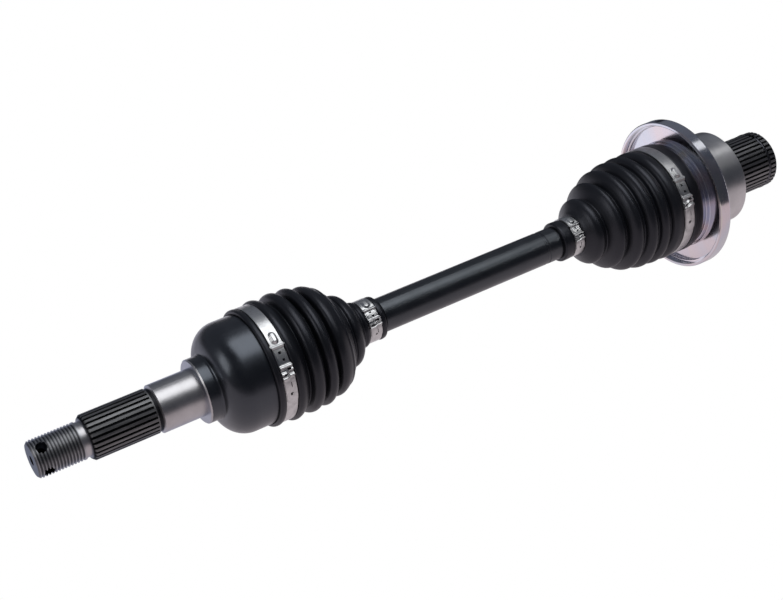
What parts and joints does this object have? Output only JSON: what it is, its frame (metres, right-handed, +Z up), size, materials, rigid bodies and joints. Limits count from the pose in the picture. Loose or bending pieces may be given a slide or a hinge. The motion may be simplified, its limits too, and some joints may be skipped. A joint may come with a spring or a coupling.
{
  "type": "cv axle",
  "caption": "Drive axle with a fixed ball joint and threaded splined stub at the wheel end, a plunging ball joint and splined stub at the gearbox end, and rubber boots.",
  "frame": {"origin": "on the axle's axis at the front face of the bell's collar, where the wheel bearing's inner ring stops", "axes": "+X along the axle from the wheel stub to the gearbox stub, +Z up"},
  "size_m": [0.5817, 0.1102, 0.1102],
  "materials": {
    "bell_forging": "satin black paint, ground journal and machined stub",
    "cage_steel": "ground and phosphated",
    "race_steel": "hardened and ground",
    "ball_steel": "polished",
    "bar_paint": "satin black paint",
    "housing_steel": "machined, lightly oiled",
    "zinc_disc": "passivated zinc, faint iridescence",
    "spring_steel": "blued spring steel",
    "boot_rubber": "satin moulded",
    "clamp_steel": "bright strip"
  },
  "bodies": {
    "housing": {"inboard_housing": "housing_steel", "deflector_disc": "zinc_disc", "inboard_retaining_ring": "spring_steel", "inboard_large_clamp": "clamp_steel", "stub_circlip": "spring_steel"},
    "plunge_boot": {"inboard_boot": "boot_rubber"},
    "inboard_ball_1": {"inboard_ball_1": "ball_steel"},
    "inboard_cage_set": {"inboard_cage": "cage_steel", "inboard_ball_2": "ball_steel", "inboard_ball_3": "ball_steel", "inboard_ball_5": "ball_steel", "inboard_ball_6": "ball_steel"},
    "inboard_ball_4": {"inboard_ball_4": "ball_steel"},
    "bar": {"axle_bar": "bar_paint", "inboard_inner_race": "race_steel", "inboard_shaft_circlip": "spring_steel", "inboard_small_clamp": "clamp_steel", "outboard_inner_race": "race_steel", "outboard_shaft_circlip": "spring_steel", "outboard_small_clamp": "clamp_steel"},
    "outboard_ball_1": {"outboard_ball_1": "ball_steel"},
    "outboard_cage_set": {"outboard_cage": "cage_steel", "outboard_ball_2": "ball_steel", "outboard_ball_3": "ball_steel", "outboard_ball_5": "ball_steel", "outboard_ball_6": "ball_steel"},
    "outboard_ball_4": {"outboard_ball_4": "ball_steel"},
    "bell": {"outboard_bell": "bell_forging", "outboard_boot": "boot_rubber", "outboard_large_clamp": "clamp_steel"}
  },
  "joints": [
    {"name": "inboard_plunge", "type": "slide", "parent": "housing", "child": "plunge_boot", "axis": [1, 0, 0], "range_m": [-0.01, 0.01], "deforming": ["inboard_boot"]},
    {"name": "inboard_level", "type": "hinge", "parent": "plunge_boot", "child": "inboard_ball_1", "pos_m": [0.39, 0, 0], "axis": [0, 0, 1], "range_deg": [-5, 5], "deforming": ["inboard_boot"]},
    {"name": "inboard_bend", "type": "hinge", "parent": "inboard_ball_1", "child": "inboard_cage_set", "pos_m": [0.39, 0, 0], "axis": [0, 1, 0], "range_deg": [-9, 9], "deforming": ["inboard_boot"]},
    {"name": "inboard_bend_bar", "type": "hinge", "parent": "inboard_cage_set", "child": "inboard_ball_4", "pos_m": [0.39, 0, 0], "axis": [0, 1, 0], "range_deg": [-9, 9], "deforming": ["inboard_boot"]},
    {"name": "inboard_level_bar", "type": "hinge", "parent": "inboard_ball_4", "child": "bar", "pos_m": [0.39, 0, 0], "axis": [0, 0, 1], "range_deg": [-5, 5], "deforming": ["inboard_boot"]},
    {"name": "outboard_travel", "type": "hinge", "parent": "bar", "child": "outboard_ball_1", "pos_m": [0.038, 0, 0], "axis": [0, 1, 0], "range_deg": [-7, 7], "deforming": ["outboard_boot"]},
    {"name": "outboard_steer", "type": "hinge", "parent": "outboard_ball_1", "child": "outboard_cage_set", "pos_m": [0.038, 0, 0], "axis": [0, 0, 1], "range_deg": [-21, 21], "deforming": ["outboard_boot"]},
    {"name": "outboard_steer_bell", "type": "hinge", "parent": "outboard_cage_set", "child": "outboard_ball_4", "pos_m": [0.038, 0, 0], "axis": [0, 0, 1], "range_deg": [-21, 21], "deforming": ["outboard_boot"]},
    {"name": "outboard_travel_bell", "type": "hinge", "parent": "outboard_ball_4", "child": "bell", "pos_m": [0.038, 0, 0], "axis": [0, 1, 0], "range_deg": [-7, 7], "deforming": ["outboard_boot"]}
  ],
  "couplings": [
    {"joint": "inboard_bend", "follows": "inboard_bend_bar", "ratio": 1},
    {"joint": "inboard_level", "follows": "inboard_level_bar", "ratio": 1},
    {"joint": "outboard_steer_bell", "follows": "outboard_steer", "ratio": 1},
    {"joint": "outboard_travel_bell", "follows": "outboard_travel", "ratio": 1}
  ]
}
